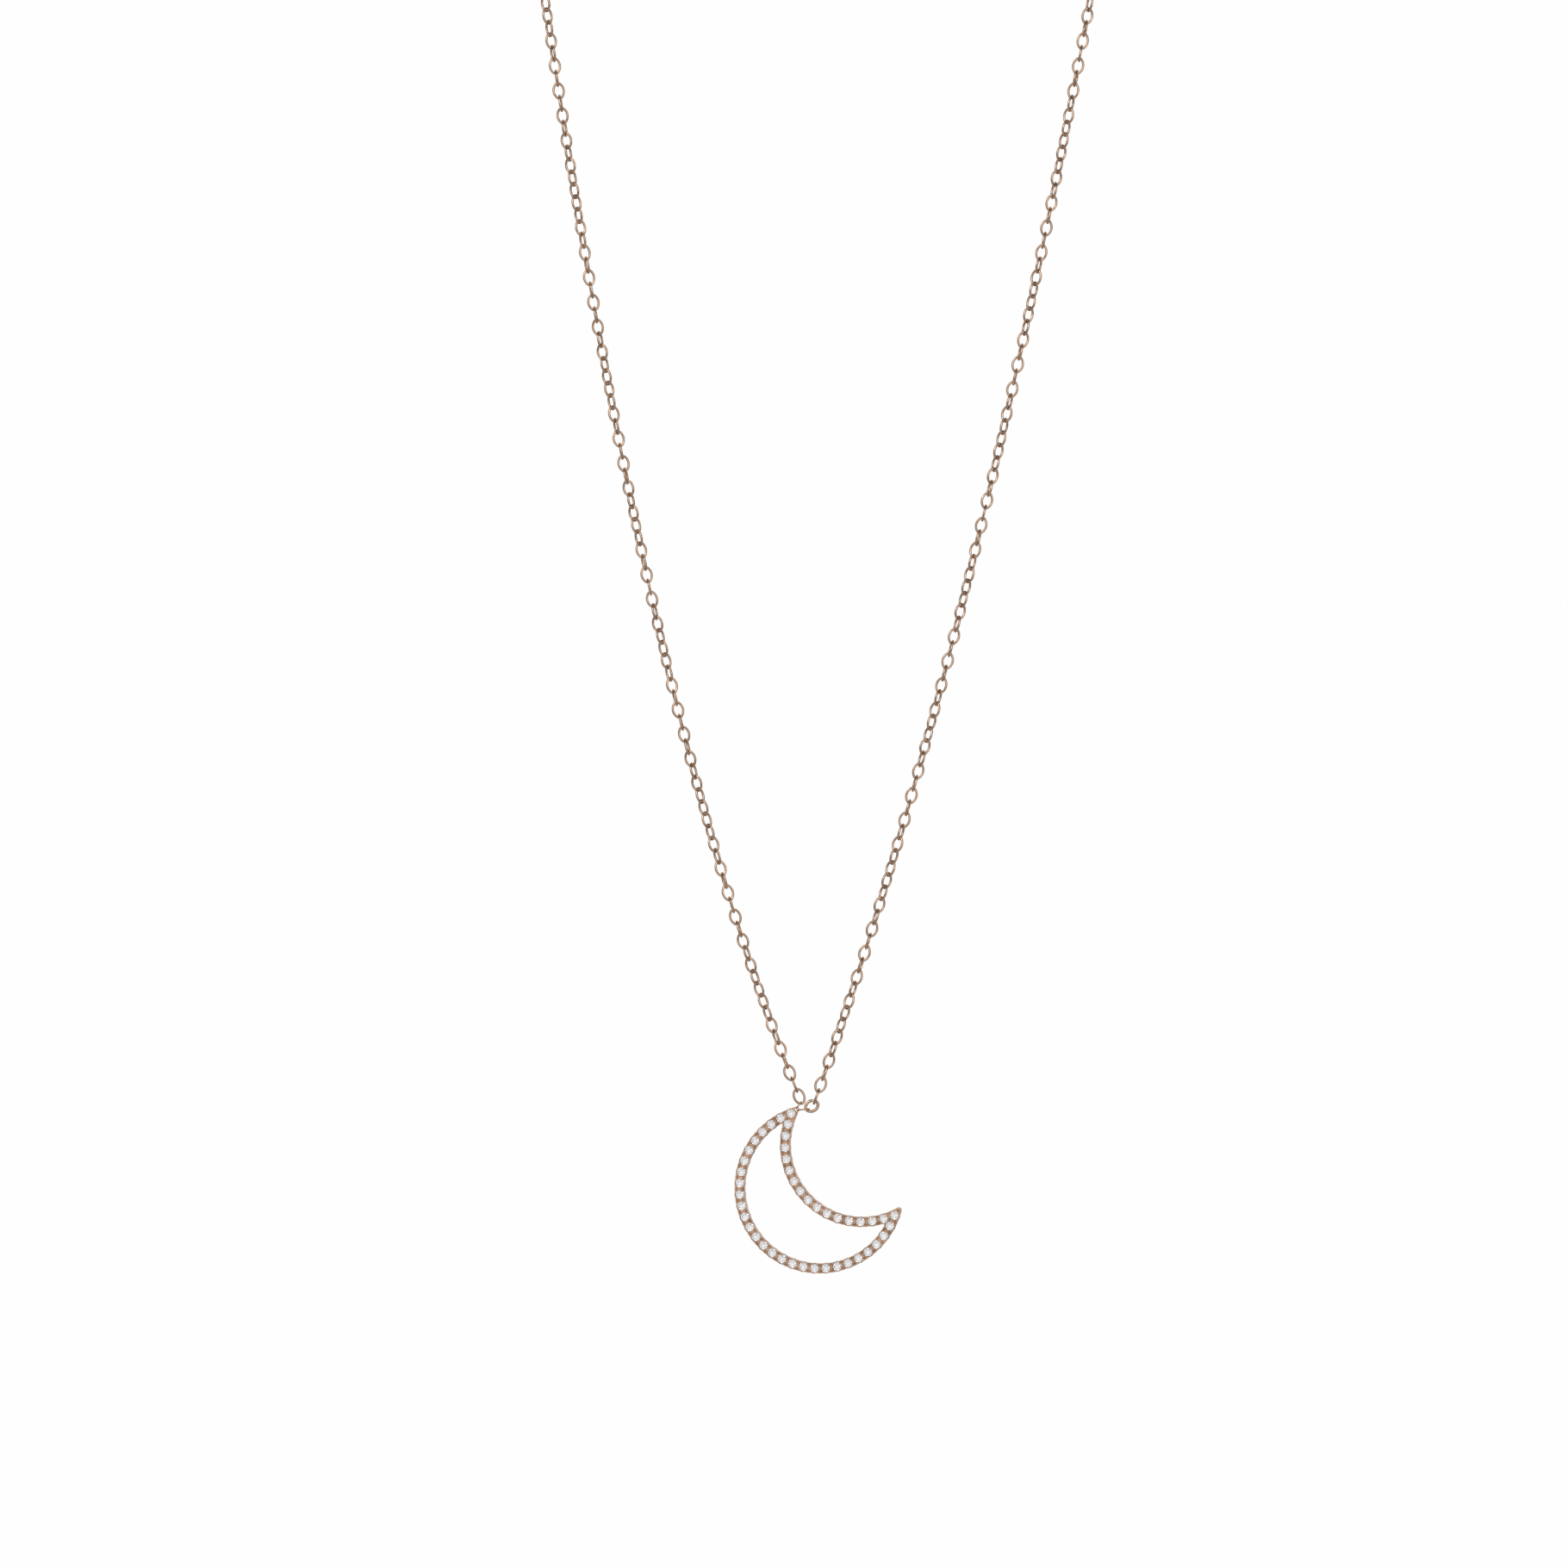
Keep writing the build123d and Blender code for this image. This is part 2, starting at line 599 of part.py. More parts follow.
spring_foot = clasp_plane.location * Location((SPRING_AT, SPRING_LOW, 0), (-90, 0, 0))
with BuildPart(Plane(spring_foot)) as clasp_spring:
    with BuildLine() as coil:
        Helix(
            pitch=(SPRING_HIGH - SPRING_LOW) / SPRING_TURNS,
            height=SPRING_HIGH - SPRING_LOW,
            radius=SPRING_RADIUS,
        )
    with BuildSketch(Plane(origin=coil.line @ 0, z_dir=coil.line % 0)):
        Circle(SPRING_WIRE / 2)
    sweep(is_frenet=True)
write(clasp_spring, "clasp_spring")

with BuildPart() as clasp_jump_ring:
    with Locations(Plane(origin=along_clasp(clasp_ring_at), z_dir=UP)):
        Torus(CLASP_RING_RADIUS, CLASP_RING_WIRE / 2)
write(clasp_jump_ring, "clasp_jump_ring")

# ---------------------------------------------------------------- extender

closing_centre = along_clasp(closing_ring_at)
with BuildPart() as closing_ring:
    with Locations(Plane(origin=closing_centre, z_dir=UP)):
        Torus(CLOSING_RING_RADIUS, CLOSING_RING_WIRE / 2)
write(closing_ring, "closing_ring")

EXTENDER_PITCH = 2 * EXTENDER_RADIUS - EXTENDER_WIRE - EXTENDER_PLAY
hang_y = closing_centre.Y + CLOSING_RING_RADIUS
first_drop = CLOSING_RING_WIRE / 2 + EXTENDER_WIRE / 2 + RING_PLAY
extender_top = Vector(
    closing_centre.X, hang_y, first_drop - EXTENDER_RADIUS
)  # centre of the first ring: its top wire rests on the closing ring
half_count = EXTENDER_LINKS // 2
for n, name in enumerate(("upper_extender_chain", "lower_extender_chain")):
    with BuildPart() as run:
        for i in range(n * half_count, (n + 1) * half_count):
            facing = (1, 0, 0) if i % 2 == 0 else (0, 1, 0)
            place = extender_top - UP * (EXTENDER_PITCH * i)
            with Locations(Plane(origin=place, x_dir=(0, 0, 1), z_dir=facing)):
                Torus(EXTENDER_RADIUS, EXTENDER_WIRE / 2)
    write(run, name)

# The drop's loop goes through the last ring, which faces back.
last_centre = extender_top - UP * (EXTENDER_PITCH * (EXTENDER_LINKS - 1))
last_bottom = last_centre - UP * EXTENDER_RADIUS
loop_top = last_bottom + UP * (EXTENDER_WIRE / 2 + DROP_LOOP_WIRE / 2 + RING_PLAY)
loop_centre = loop_top - UP * DROP_LOOP_RADIUS
drop_top = loop_centre - UP * (DROP_LOOP_RADIUS - DROP_LOOP_SINK)
with BuildPart() as end_drop:
    with Locations(Plane(origin=loop_centre, x_dir=(0, 0, 1), z_dir=(1, 0, 0))):
        Torus(DROP_LOOP_RADIUS, DROP_LOOP_WIRE / 2)
    with BuildSketch(Plane(origin=drop_top, x_dir=(1, 0, 0), z_dir=(0, -1, 0))):
        with BuildLine():
            round_low = DROP_DIAMETER / 2 - DROP_LENGTH
            bulb = CenterArc((0, round_low), DROP_DIAMETER / 2, -90, DROP_BULB_TURN)
            neck = (DROP_NECK_RADIUS, 0)
            Spline(bulb @ 1, DROP_SHOULDER, neck, tangents=[bulb % 1, (-0.1, 1)])
            Line(neck, (0, 0))
            Line((0, 0), (0, -DROP_LENGTH))
        make_face()
    revolve(axis=Axis(drop_top, (0, 0, 1)))
write(end_drop, "end_drop")

# ---------------------------------------------------------------- sizes and joint places

chain_length = 2 * LINKS_PER_STRAND * PITCH + left_length + right_length
closed = chain_length + abs(left_end.X - right_end.X)
print("closed length", round(closed, 1), "links", 2 * LINKS_PER_STRAND + left_count + right_count)
print("neck steps", round(left_length / left_count, 4), round(right_length / right_count, 4))
print("tip ring radii", round(left_ring_radius, 3), round(right_ring_radius, 3))
print("neck loop", [round(v, 2) for v in (left_contacts[-1].X, right_contacts[-1].X, NAPE_Y)])
links_per_level = LINKS_PER_NODE * NODES_PER_LEVEL
for level in range(LEVELS + 1):
    at = LINKS_PER_STRAND - links_per_level * level
    a, b = left_contacts[at], right_contacts[at]
    print("level", level + 1, [round(v, 4) for v in (a.X, b.X, a.Y, a.Z)])
print("moon front", [round(v, 5) for v in moon_front])
print("eye", [round(v, 4) for v in eye], "moon centre", [round(v, 3) for v in moon_centre])
print("lever pivot", [round(v, 4) for v in clasp_plane.from_local_coords(PIVOT)])
print("extender pivot", [round(v, 4) for v in (closing_centre.X, hang_y, 0)])
middle_pivot = extender_top - UP * (EXTENDER_PITCH * (half_count - 0.5))
print("extender middle", [round(v, 4) for v in middle_pivot])
print("drop pivot", [round(v, 4) for v in last_bottom])
print("moon centroid", [round(v, 3) for v in moon_frame.part.center(CenterOf.MASS)])
print("spring", round(clasp_spring.part.volume, 4), clasp_spring.part.is_valid)
print("files", len(written))
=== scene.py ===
"""The looks of the crescent-moon necklace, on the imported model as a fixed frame."""

import json
from math import cos, pi, sin, tau

import bmesh
import bpy
import numpy as np
from mathutils import Matrix, Vector


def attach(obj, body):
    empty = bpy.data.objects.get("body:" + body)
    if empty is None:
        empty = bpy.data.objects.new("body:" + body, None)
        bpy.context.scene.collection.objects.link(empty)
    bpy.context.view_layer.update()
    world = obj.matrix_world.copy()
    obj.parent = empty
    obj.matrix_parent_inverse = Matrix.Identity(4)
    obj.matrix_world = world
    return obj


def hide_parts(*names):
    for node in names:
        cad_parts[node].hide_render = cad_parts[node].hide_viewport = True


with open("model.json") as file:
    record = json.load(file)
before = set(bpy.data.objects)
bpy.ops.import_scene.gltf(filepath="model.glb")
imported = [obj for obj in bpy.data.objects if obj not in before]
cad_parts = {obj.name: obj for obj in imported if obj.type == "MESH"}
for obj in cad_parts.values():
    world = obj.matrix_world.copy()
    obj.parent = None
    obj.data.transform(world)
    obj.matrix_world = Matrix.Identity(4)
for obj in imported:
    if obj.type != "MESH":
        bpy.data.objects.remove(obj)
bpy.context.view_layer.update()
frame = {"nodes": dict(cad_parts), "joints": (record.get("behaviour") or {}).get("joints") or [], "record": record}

MM = 0.001
FRONT = Vector((0, -1, 0))
scene = bpy.context.scene

# ---------------------------------------------------------------- places


def joint_named(name):
    for joint in frame["joints"]:
        if joint["name"] == name:
            return joint
    raise KeyError(name)


def body_of_node(node):
    for body, members in frame["record"]["behaviour"]["bodies"].items():
        if node in members:
            return body
    raise KeyError(node)


feet = Vector(joint_named("pendant_nod")["pos_m"])
moon_front = np.array(joint_named("pendant_swing")["axis"])

# ---------------------------------------------------------------- camera

# The picture is as wide as it is high. Its middle lies this far above the strands' feet.
PICTURE_SIZE = 172.9 * MM
PICTURE_ABOVE_FEET = 35.1 * MM
PICTURE_MIDDLE_X = -4.19 * MM
CAMERA_DISTANCE = 1.5
SENSOR = 36.0

target = Vector((PICTURE_MIDDLE_X, feet.y, feet.z + PICTURE_ABOVE_FEET))


def add_camera():
    data = bpy.data.cameras.new("camera")
    data.sensor_width = SENSOR
    data.lens = SENSOR * CAMERA_DISTANCE / PICTURE_SIZE
    data.clip_start = 0.01
    data.clip_end = 20
    camera = bpy.data.objects.new("camera", data)
    camera.location = target + FRONT * CAMERA_DISTANCE
    camera.rotation_euler = (pi / 2, 0, 0)
    scene.collection.objects.link(camera)
    scene.camera = camera


add_camera()

# ---------------------------------------------------------------- studio light


def area_light(name, way, distance, size, radiance):
    """A soft box that faces the necklace. Its power follows from how bright it looks."""
    data = bpy.data.lights.new(name, "AREA")
    data.shape = "RECTANGLE"
    data.size, data.size_y = size
    data.energy = radiance * pi * size[0] * size[1]
    lamp = bpy.data.objects.new(name, data)
    lamp.location = target + Vector(way).normalized() * distance
    lamp.rotation_euler = (target - lamp.location).to_track_quat("-Z", "Y").to_euler()
    scene.collection.objects.link(lamp)


area_light("key", (-0.6, -1.0, 0.6), 1.3, (0.5, 0.5), 3.0)
area_light("fill", (0.7, -1.0, 0.1), 1.4, (0.25, 0.8), 2.0)
area_light("top", (0.1, 0.1, 1.0), 1.2, (0.6, 0.4), 2.0)


def studio_world():
    """White behind the necklace. What it reflects is bright in front and behind, dark aside."""
    world = bpy.data.worlds.new("studio")
    scene.world = world
    world.use_nodes = True
    nodes, links = world.node_tree.nodes, world.node_tree.links
    white = nodes["Background"]
    white.inputs["Color"].default_value = (0.99, 0.99, 0.99, 1)
    room = nodes.new("ShaderNodeBackground")
    place = nodes.new("ShaderNodeTexCoord")
    parts = nodes.new("ShaderNodeSeparateXYZ")
    links.new(place.outputs["Generated"], parts.inputs["Vector"])
    depth = nodes.new("ShaderNodeMapRange")
    depth.inputs["From Min"].default_value = -1
    depth.inputs["From Max"].default_value = 1
    links.new(parts.outputs["Y"], depth.inputs["Value"])
    shade = nodes.new("ShaderNodeValToRGB")
    stops = [
        (0.00, 0.95),
        (0.08, 1.10),
        (0.18, 0.90),
        (0.28, 0.12),
        (0.62, 0.10),
        (0.80, 0.60),
        (1.00, 0.80),
    ]
    ramp = shade.color_ramp.elements
    while len(ramp) < len(stops):
        ramp.new(1.0)
    for stop, (position, grey) in zip(ramp, stops):
        stop.position = position
        stop.color = (grey, grey, grey, 1)
    links.new(depth.outputs["Result"], shade.inputs["Fac"])
    links.new(shade.outputs["Color"], room.inputs["Color"])
    ray = nodes.new("ShaderNodeLightPath")
    mix = nodes.new("ShaderNodeMixShader")
    links.new(ray.outputs["Is Camera Ray"], mix.inputs["Fac"])
    links.new(room.outputs["Background"], mix.inputs[1])
    links.new(white.outputs["Background"], mix.inputs[2])
    links.new(mix.outputs["Shader"], nodes["World Output"].inputs["Surface"])


studio_world()
scene.view_settings.view_transform = "Standard"

# ---------------------------------------------------------------- materials


def new_material(name):
    material = bpy.data.materials.new(name)
    material.use_nodes = True
    nodes = material.node_tree.nodes
    return material, nodes, material.node_tree.links, nodes["Principled BSDF"]


def noise(nodes, links, scale, detail):
    place = nodes.new("ShaderNodeTexCoord")
    texture = nodes.new("ShaderNodeTexNoise")
    texture.inputs["Scale"].default_value = scale
    texture.inputs["Detail"].default_value = detail
    links.new(place.outputs["Object"], texture.inputs["Vector"])
    return texture.outputs["Fac"]


def two_tones(nodes, links, value, dark, light, low=0.35, high=0.65):
    ramp = nodes.new("ShaderNodeValToRGB")
    ramp.color_ramp.elements[0].position = low
    ramp.color_ramp.elements[0].color = (*dark, 1)
    ramp.color_ramp.elements[1].position = high
    ramp.color_ramp.elements[1].color = (*light, 1)
    links.new(value, ramp.inputs["Fac"])
    return ramp.outputs["Color"]


def between(nodes, links, value, low, high):
    spread = nodes.new("ShaderNodeMapRange")
    spread.inputs["To Min"].default_value = low
    spread.inputs["To Max"].default_value = high
    links.new(value, spread.inputs["Value"])
    return spread.outputs["Result"]


def bump(nodes, links, shader, value, strength, distance):
    relief = nodes.new("ShaderNodeBump")
    relief.inputs["Strength"].default_value = strength
    relief.inputs["Distance"].default_value = distance
    links.new(value, relief.inputs["Height"])
    links.new(relief.outputs["Normal"], shader.inputs["Normal"])


def polished_metal(name, dark, light, roughness, marks):
    """Polished metal: slow colour drift, and fine polishing marks in gloss and relief."""
    material, nodes, links, shader = new_material(name)
    shader.inputs["Metallic"].default_value = 1.0
    drift = noise(nodes, links, 900, 3)
    links.new(two_tones(nodes, links, drift, dark, light), shader.inputs["Base Color"])
    grain = noise(nodes, links, marks, 4)
    gloss = between(nodes, links, grain, roughness * 0.7, roughness * 1.4)
    links.new(gloss, shader.inputs["Roughness"])
    bump(nodes, links, shader, grain, 0.15, 0.01 * MM)
    return material


wire_gold = polished_metal("gold_wire", (0.52, 0.34, 0.23), (0.70, 0.48, 0.34), 0.20, 6000)
cast_gold = polished_metal("gold_cast", (0.44, 0.26, 0.16), (0.66, 0.42, 0.28), 0.26, 5000)
plain_gold = polished_metal("gold_polished", (0.58, 0.38, 0.27), (0.72, 0.50, 0.37), 0.16, 3000)
spring_steel = polished_metal("spring_steel", (0.42, 0.42, 0.43), (0.60, 0.60, 0.61), 0.3, 6000)


STONE_IOR = 2.2


def white_stone():
    """Clear cut stones with a breath of colour that differs from stone to stone."""
    material, nodes, links, shader = new_material("white_stone")
    tint = noise(nodes, links, 700, 1)
    colour = two_tones(nodes, links, tint, (0.98, 0.95, 0.95), (1.0, 1.0, 1.0))
    links.new(colour, shader.inputs["Base Color"])
    polish = noise(nodes, links, 9000, 2)
    links.new(between(nodes, links, polish, 0.0, 0.04), shader.inputs["Roughness"])
    shader.inputs["Transmission Weight"].default_value = 1.0
    shader.inputs["IOR"].default_value = STONE_IOR
    return material


clear_stone = white_stone()

# ---------------------------------------------------------------- mesh helpers

WELD_DISTANCE = 1e-6


def solid_pieces(node):
    """The vertices of each separate solid in a CAD node's mesh, its centre and its axes.

    The axes are the columns of a matrix, the longest spread first.
    """
    bm = bmesh.new()
    bm.from_mesh(frame["nodes"][node].data)
    bmesh.ops.remove_doubles(bm, verts=bm.verts, dist=WELD_DISTANCE)
    bmesh.ops.triangulate(bm, faces=bm.faces)
    bm.verts.index_update()
    verts = np.array([v.co for v in bm.verts], float)
    tris = np.array([[v.index for v in f.verts] for f in bm.faces])
    bm.free()
    label = np.arange(len(verts))
    while True:
        low = label[tris].min(axis=1)
        fresh = label.copy()
        for k in range(3):
            np.minimum.at(fresh, tris[:, k], low)
        fresh = fresh[fresh]
        if (fresh == label).all():
            break
        label = fresh
    found = []
    for name in np.unique(label[tris[:, 0]]):
        own = tris[label[tris[:, 0]] == name]
        a, b, c = (verts[own[:, k]] for k in range(3))
        area = np.linalg.norm(np.cross(b - a, c - a), axis=1)
        middle = (a + b + c) / 3
        centre = (middle * area[:, None]).sum(0) / area.sum()
        away = middle - centre
        _, vectors = np.linalg.eigh((away * area[:, None]).T @ away)
        found.append((verts[np.unique(own)], centre, vectors[:, ::-1]))
    return found


def right_handed(axes):
    """A solid's axes as a turn, with the third square to the first two."""
    turn = axes.copy()
    turn[:, 2] = np.cross(turn[:, 0], turn[:, 1])
    return turn


def mesh_piece(name, verts, faces, material, smooth=True):
    mesh = bpy.data.meshes.new(name)
    mesh.from_pydata([tuple(v) for v in verts], [], [tuple(int(i) for i in f) for f in faces])
    mesh.materials.append(material)
    mesh.polygons.foreach_set("use_smooth", [smooth] * len(mesh.polygons))
    mesh.update()
    piece = bpy.data.objects.new(name, mesh)
    scene.collection.objects.link(piece)
    return piece


def joined(runs):
    """One list of vertices and one of faces, from several."""
    verts, faces, base = [], [], 0
    for own_verts, own_faces in runs:
        verts.append(np.asarray(own_verts))
        faces += [tuple(i + base for i in face) for face in own_faces]
        base += len(own_verts)
    return np.vstack(verts), faces


def stand_in(name, node, verts, faces, material, slot, smooth=True):
    piece = mesh_piece(name, verts, faces, material, smooth)
    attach(piece, body_of_node(node))
    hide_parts(node)
    return piece


# ---------------------------------------------------------------- wire rings


def oval_points(half_length, half_width, end_radius, count):
    """Points and outward angles of a closed four-arc oval about the origin, long along X."""
    side_radius = ((half_length - end_radius) ** 2 + half_width**2 - end_radius**2) / (
        2 * (half_width - end_radius)
    )
    join = np.arctan2(side_radius - half_width, half_length - end_radius)
    arcs = [
        (half_length - end_radius, 0, end_radius, -join, join),
        (0, half_width - side_radius, side_radius, join, pi - join),
        (end_radius - half_length, 0, end_radius, pi - join, pi + join),
        (0, side_radius - half_width, side_radius, pi + join, tau - join),
    ]
    found = []
    for cx, cy, radius, start, end in arcs:
        steps = count // 4
        for i in range(steps):
            t = start + (end - start) * i / steps
            found.append((cx + radius * cos(t), cy + radius * sin(t), t))
    return found


def round_points(radius, count):
    return [(radius * cos(t), radius * sin(t), t) for t in np.arange(count) * tau / count]


def wire_ring(points, wire_radius, around=12, cut=False):
    """A round wire along a closed flat line of (x, y, outward angle).

    A cut ring leaves its last step open, between two flat ends.
    """
    verts, faces = [], []
    for x, y, out in points:
        for k in range(around):
            t = tau * k / around
            reach = wire_radius * cos(t)
            verts.append((x + reach * cos(out), y + reach * sin(out), wire_radius * sin(t)))
    for i in range(len(points) - cut):
        a, b = i * around, (i + 1) % len(points) * around
        for k in range(around):
            j = (k + 1) % around
            faces.append((a + k, b + k, b + j, a + j))
    if cut:
        last = (len(points) - 1) * around
        faces.append(tuple(range(around)))
        faces.append(tuple(last + k for k in reversed(range(around))))
    return np.array(verts), faces


LINK_WIRE = 0.26 * MM
LINK_LENGTH = 1.96 * MM
LINK_WIDTH = 1.38 * MM
LINK_END_RADIUS = 0.36 * MM
link_verts, link_faces = wire_ring(
    oval_points(
        (LINK_LENGTH - LINK_WIRE) / 2, (LINK_WIDTH - LINK_WIRE) / 2, LINK_END_RADIUS, 48
    ),
    LINK_WIRE / 2,
)


def chain_piece(node):
    """The links of one CAD chain node, as smooth wire."""
    runs = []
    for _, centre, axes in solid_pieces(node):
        turn = right_handed(axes)
        runs.append((link_verts @ turn.T + centre, link_faces))
    stand_in(node + "_wire", node, *joined(runs), wire_gold, "rose_gold")


def add_chains():
    for node in sorted(frame["nodes"]):
        if "_strand_" in node or "_neck_chain_" in node:
            chain_piece(node)


add_chains()


def ring_piece(node, material, count=96, around=24):
    """Round wire rings in place of a CAD node's tori, whose sizes come from the node."""
    runs = []
    for verts, centre, axes in solid_pieces(node):
        turn = right_handed(axes)
        own = (verts - centre) @ turn
        reach = np.hypot(own[:, 0], own[:, 1]).max()
        wire_radius = own[:, 2].max()
        ring_verts, ring_faces = wire_ring(
            round_points(reach - wire_radius, count), wire_radius, around
        )
        runs.append((ring_verts @ turn.T + centre, ring_faces))
    stand_in(node + "_wire", node, *joined(runs), material, "rose_gold")


for ring_node in (
    "left_tip_ring",
    "right_tip_ring",
    "clasp_jump_ring",
    "closing_ring",
    "upper_extender_chain",
    "lower_extender_chain",
):
    ring_piece(ring_node, wire_gold)

JUMP_RING_WIRE = 0.34 * MM
JUMP_RING_LONG = 0.71 * MM
JUMP_RING_SHORT = 0.57 * MM
JUMP_RING_END_RADIUS = 0.45 * MM


def jump_ring():
    """The oval ring, with the cut it is opened by near its top."""
    _, centre, axes = solid_pieces("right_jump_ring")[0]
    turn = right_handed(axes)
    points = oval_points(JUMP_RING_LONG, JUMP_RING_SHORT, JUMP_RING_END_RADIUS, 96)
    places = [Vector(turn @ (x, y, 0)) for x, y, _ in points]
    top = max(range(len(points)), key=lambda i: places[i].z)
    ring_verts, ring_faces = wire_ring(
        points[top:] + points[:top], JUMP_RING_WIRE / 2, 24, cut=True
    )
    stand_in(
        "right_jump_ring_wire",
        "right_jump_ring",
        ring_verts @ turn.T + centre,
        ring_faces,
        wire_gold,
        "rose_gold",
    )


jump_ring()

# ---------------------------------------------------------------- stones

GIRDLE_RADIUS = 0.49 * MM
TABLE_RADIUS = 0.28 * MM
CROWN = 0.16 * MM
GIRDLE = 0.04 * MM
PAVILION = 0.40 * MM
STAR_RADIUS = 0.375 * MM
STAR_RISE = 0.62  # of the crown
DEEP_RADIUS = 0.10 * MM
DEEP_DROP = 0.80  # of the pavilion


def brilliant():
    """A round brilliant with its girdle's lower edge at height 0, in 57 flat facets."""
    eighth = tau / 8
    top = GIRDLE + CROWN

    def ring(radius, height, count, shift=0.0):
        return [
            (radius * cos(tau * i / count + shift), radius * sin(tau * i / count + shift), height)
            for i in range(count)
        ]

    table = ring(TABLE_RADIUS, top, 8, eighth / 2)
    star = ring(STAR_RADIUS, GIRDLE + STAR_RISE * CROWN, 8)
    upper = ring(GIRDLE_RADIUS, GIRDLE, 16)
    lower = ring(GIRDLE_RADIUS, 0, 16)
    deep = ring(DEEP_RADIUS, -DEEP_DROP * PAVILION, 8)
    verts = table + star + upper + lower + deep + [(0, 0, -PAVILION)]
    t, s, u, w, d, tip = 0, 8, 16, 32, 48, 56
    faces = [tuple(range(t, t + 8))]
    for i in range(8):
        after, before = (i + 1) % 8, (i - 1) % 8
        edge, left, right = 2 * i, (2 * i + 1) % 16, (2 * i - 1) % 16
        faces.append((s + i, t + i, t + before))
        faces.append((t + i, s + i, u + left, s + after))
        faces.append((s + i, u + edge, u + left))
        faces.append((s + i, u + right, u + edge))
        faces.append((u + edge, w + edge, w + left, u + left))
        faces.append((u + right, w + right, w + edge, u + edge))
        faces.append((w + left, w + edge, d + i))
        faces.append((w + left, d + i, d + after))
        faces.append((w + (edge + 2) % 16, w + left, d + after))
        faces.append((d + i, tip, d + after))
    return np.array(verts), faces


stone_verts, stone_faces = brilliant()
GOLDEN_ANGLE = 2.4  # from one stone to the next, so that no two neighbours glint alike


def upright(axis):
    """A turn whose Z is an axis."""
    across = np.cross((0.0, 0.0, 1.0), axis)
    across /= np.linalg.norm(across)
    return np.column_stack((across, np.cross(axis, across), axis))


def stone_seats(node):
    """Each stone's point on the axis level with its girdle's lower edge."""
    seats = []
    for verts, centre, _ in solid_pieces(node):
        top = (verts @ moon_front).max()
        seats.append(centre + moon_front * (top - GIRDLE - CROWN - centre @ moon_front))
    return seats


def stone_piece(node):
    runs = []
    for i, seat in enumerate(stone_seats(node)):
        spin = Matrix.Rotation(GOLDEN_ANGLE * i, 3, "Z")
        turn = upright(moon_front) @ np.array(spin)
        runs.append((stone_verts @ turn.T + seat, stone_faces))
    stand_in(node + "_cut", node, *joined(runs), clear_stone, "white_stones", smooth=False)


for stone_node in ("outer_arc_stones", "inner_arc_stones"):
    stone_piece(stone_node)

# ---------------------------------------------------------------- beads that hold the stones

BEAD_RADIUS = 0.105 * MM
BEAD_ALONG = 0.13 * MM  # from the middle of the gap between two stones, along the row
BEAD_ACROSS = 0.30 * MM
SEAT_TO_FRONT = 0.14 * MM  # from a stone's seat to the front of the band
TIP_BEAD_RADIUS = 0.15 * MM
BEAD_RISE = 0.9  # of its radius
BEAD_ROOT = 0.6  # of its radius


def bead(radius, around=12, rows=5):
    """A raised bead of metal: a low dome with a short root."""
    verts = [(0, 0, radius * BEAD_RISE)]
    for row in range(1, rows + 1):
        t = pi / 2 * row / rows
        for k in range(around):
            a = tau * k / around
            reach, rise = radius * sin(t), radius * BEAD_RISE * cos(t)
            verts.append((reach * cos(a), reach * sin(a), rise))
    root = len(verts)
    for k in range(around):
        a = tau * k / around
        verts.append((radius * cos(a), radius * sin(a), -radius * BEAD_ROOT))
    faces = [(0, 1 + k, 1 + (k + 1) % around) for k in range(around)]
    for row in range(rows):
        a, b = 1 + row * around, 1 + (row + 1) * around
        for k in range(around):
            j = (k + 1) % around
            faces.append((a + k, b + k, b + j, a + j))
    faces.append(tuple(root + k for k in reversed(range(around))))
    return np.array(verts), faces


def in_row_order(seats):
    """The seats of an arc from one end to the other. An end has one neighbour, not two."""
    seats = [np.array(seat) for seat in seats]
    gaps = np.array([[np.linalg.norm(a - b) for b in seats] for a in seats])
    step = gaps[gaps > 0].min()
    neighbours = (gaps < 1.5 * step).sum(axis=1)
    row = [seats.pop(int(neighbours.argmin()))]
    while seats:
        near = min(range(len(seats)), key=lambda i: np.linalg.norm(seats[i] - row[-1]))
        row.append(seats.pop(near))
    return row


def circle_centre(row):
    """The centre of the circle through an arc's ends and middle."""
    a, b, c = row[0], row[len(row) // 2], row[-1]
    u, v = b - a, c - a
    w = np.cross(u, v)
    return a + (np.dot(u, u) * np.cross(v, w) - np.dot(v, v) * np.cross(u, w)) / (
        2 * np.dot(w, w)
    )


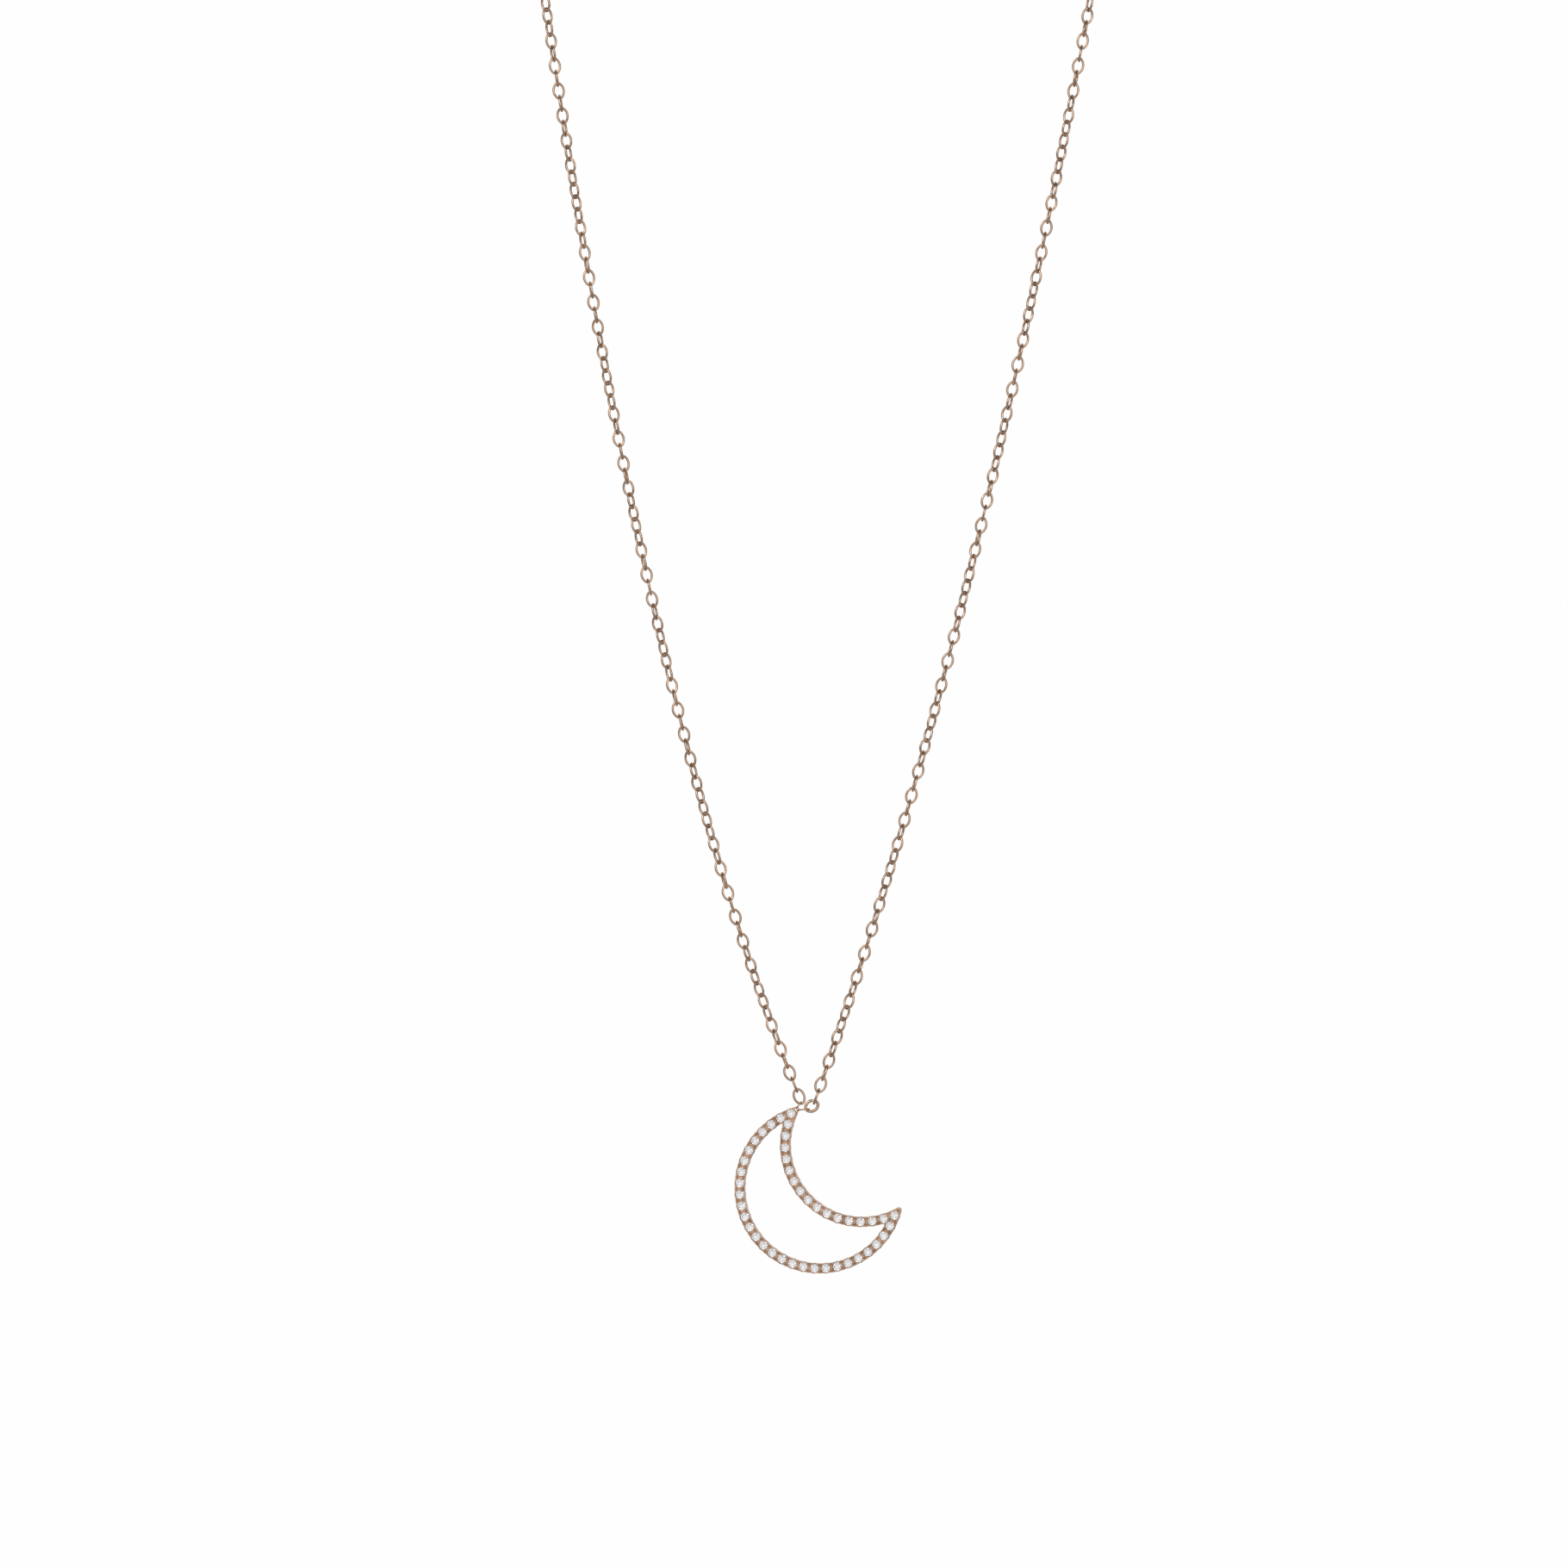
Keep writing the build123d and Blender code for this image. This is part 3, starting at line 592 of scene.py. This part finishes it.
def add_beads():
    """Four beads in each gap between neighbours, and one on the free tip."""
    turn = upright(moon_front)
    bead_verts, bead_faces = bead(BEAD_RADIUS)
    runs, centres = [], []
    for node in ("outer_arc_stones", "inner_arc_stones"):
        row = in_row_order(stone_seats(node))
        centres.append(circle_centre(row))
        for a, b in zip(row, row[1:]):
            along = (b - a) / np.linalg.norm(b - a)
            across = np.cross(moon_front, along)
            middle = (a + b) / 2 + moon_front * SEAT_TO_FRONT
            for i in (-1, 1):
                for j in (-1, 1):
                    place = middle + along * (BEAD_ALONG * i) + across * (BEAD_ACROSS * j)
                    runs.append((bead_verts @ turn.T + place, bead_faces))
    # The free tip mirrors the holed one about the line through the two circles' centres.
    eye = np.array(joint_named("pendant_swing")["pos_m"])
    line = centres[1] - centres[0]
    line /= np.linalg.norm(line)
    from_centre = eye - centres[0]
    from_centre -= moon_front * from_centre.dot(moon_front)
    free_tip = centres[0] + 2 * line * from_centre.dot(line) - from_centre
    tip_verts, tip_faces = bead(TIP_BEAD_RADIUS)
    place = free_tip + moon_front * SEAT_TO_FRONT
    runs.append((tip_verts @ turn.T + place, tip_faces))
    piece = mesh_piece("stone_beads", *joined(runs), cast_gold)
    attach(piece, "moon")


add_beads()

# ---------------------------------------------------------------- carried-over nodes


def dress_cad_nodes():
    dresses = {"moon_frame": cast_gold, "clasp_spring": spring_steel}
    for node, shown in frame["nodes"].items():
        if shown.hide_render:
            continue
        for slot in shown.material_slots:
            slot.material = dresses.get(node, plain_gold)


dress_cad_nodes()

# ---------------------------------------------------------------- floor

FLOOR_BELOW = 0.45  # from the middle of the picture
FLOOR_SIZE = 7.0


def add_floor():
    material, nodes, links, shader = new_material("floor")
    tone = noise(nodes, links, 3, 2)
    links.new(
        two_tones(nodes, links, tone, (0.84, 0.84, 0.84), (0.88, 0.88, 0.88)),
        shader.inputs["Base Color"],
    )
    shader.inputs["Roughness"].default_value = 0.9
    half = FLOOR_SIZE / 2
    level = target.z - FLOOR_BELOW
    corners = [(-half, -half), (half, -half), (half, half), (-half, half)]
    floor = mesh_piece("floor", [(x, y, level) for x, y in corners], [(0, 1, 2, 3)], material)


add_floor()
